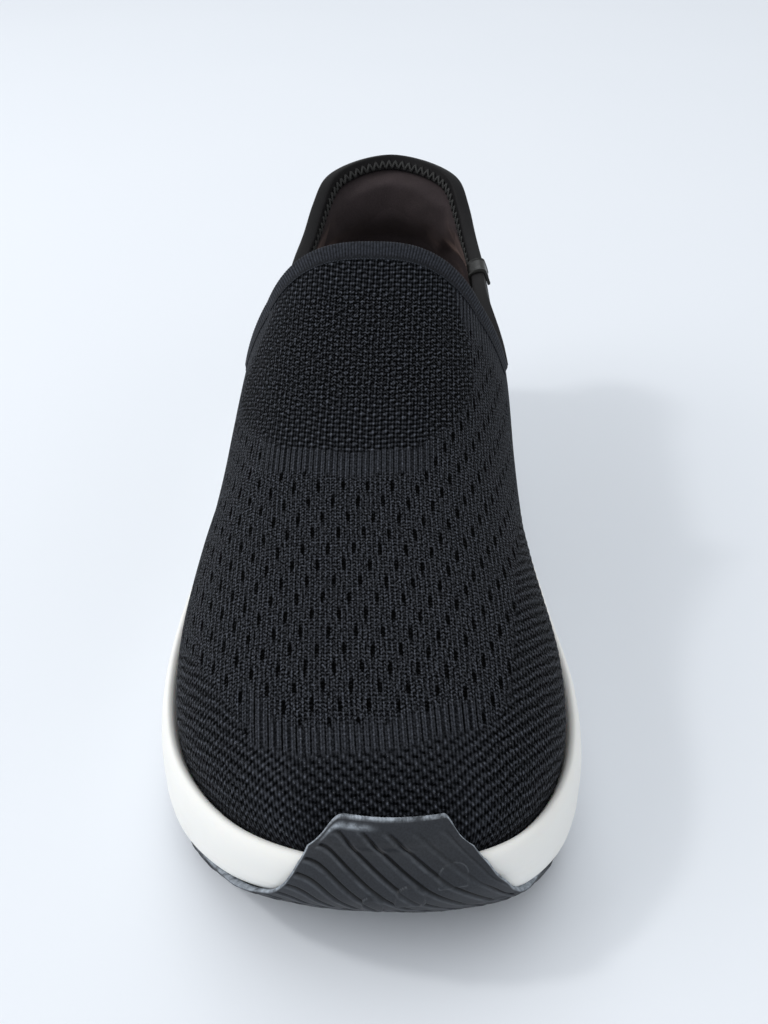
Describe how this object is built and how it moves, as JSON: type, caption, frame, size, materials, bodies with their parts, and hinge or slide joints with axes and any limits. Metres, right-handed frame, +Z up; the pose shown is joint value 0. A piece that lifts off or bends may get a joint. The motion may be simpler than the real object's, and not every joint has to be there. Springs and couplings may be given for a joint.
{
  "type": "running shoe",
  "caption": "Slip-on knit running shoe, right foot: padded heel collar, ribbed knit vamp, thick foam midsole, rubber outsole wrapped over the toe, removable insole.",
  "frame": {"origin": "on the floor, under the middle of the shoe's length and width", "axes": "-Y towards the toe, +Y towards the heel, +X towards the inner side of the right foot, +Z up"},
  "size_m": [0.1093, 0.287, 0.1119],
  "materials": {
    "outsole_rubber": "matte charcoal rubber",
    "midsole_foam": "white moulded EVA foam",
    "board_fabric": "non-woven board",
    "stitching": "thread",
    "knit": "near-black flat knit",
    "stiffener": "thermoplastic sheet",
    "lining": "brown-black brushed microfibre",
    "knit_band": "ribbed knit band",
    "padding": "open-cell foam",
    "binding_tape": "smooth folded tape",
    "stitching_dark": "dark thread",
    "sleeve": "glossy soft sleeve",
    "insole_cloth": "insole cloth"
  },
  "bodies": {
    "shoe": {"outsole_forefoot": "outsole_rubber", "outsole_heel": "outsole_rubber", "midsole": "midsole_foam", "strobel_board": "board_fabric", "strobel_seam": "stitching", "knit_upper": "knit", "toe_puff": "stiffener", "vamp_lining": "lining", "collar_band": "knit_band", "heel_counter": "stiffener", "heel_lining": "lining", "collar_foam_lateral": "padding", "heel_pillow": "padding", "collar_foam_medial": "padding", "collar_binding": "binding_tape", "binding_stitch": "stitching_dark", "sleeve_lateral": "sleeve", "sleeve_medial": "sleeve"},
    "insole": {"insole_foam": "padding", "insole_cover": "insole_cloth"}
  },
  "joints": [
    {"name": "insole_lift", "type": "hinge", "parent": "shoe", "child": "insole", "pos_m": [0, -0.1295, 0.0245], "axis": [1, 0, 0], "range_deg": [0, 7]}
  ]
}
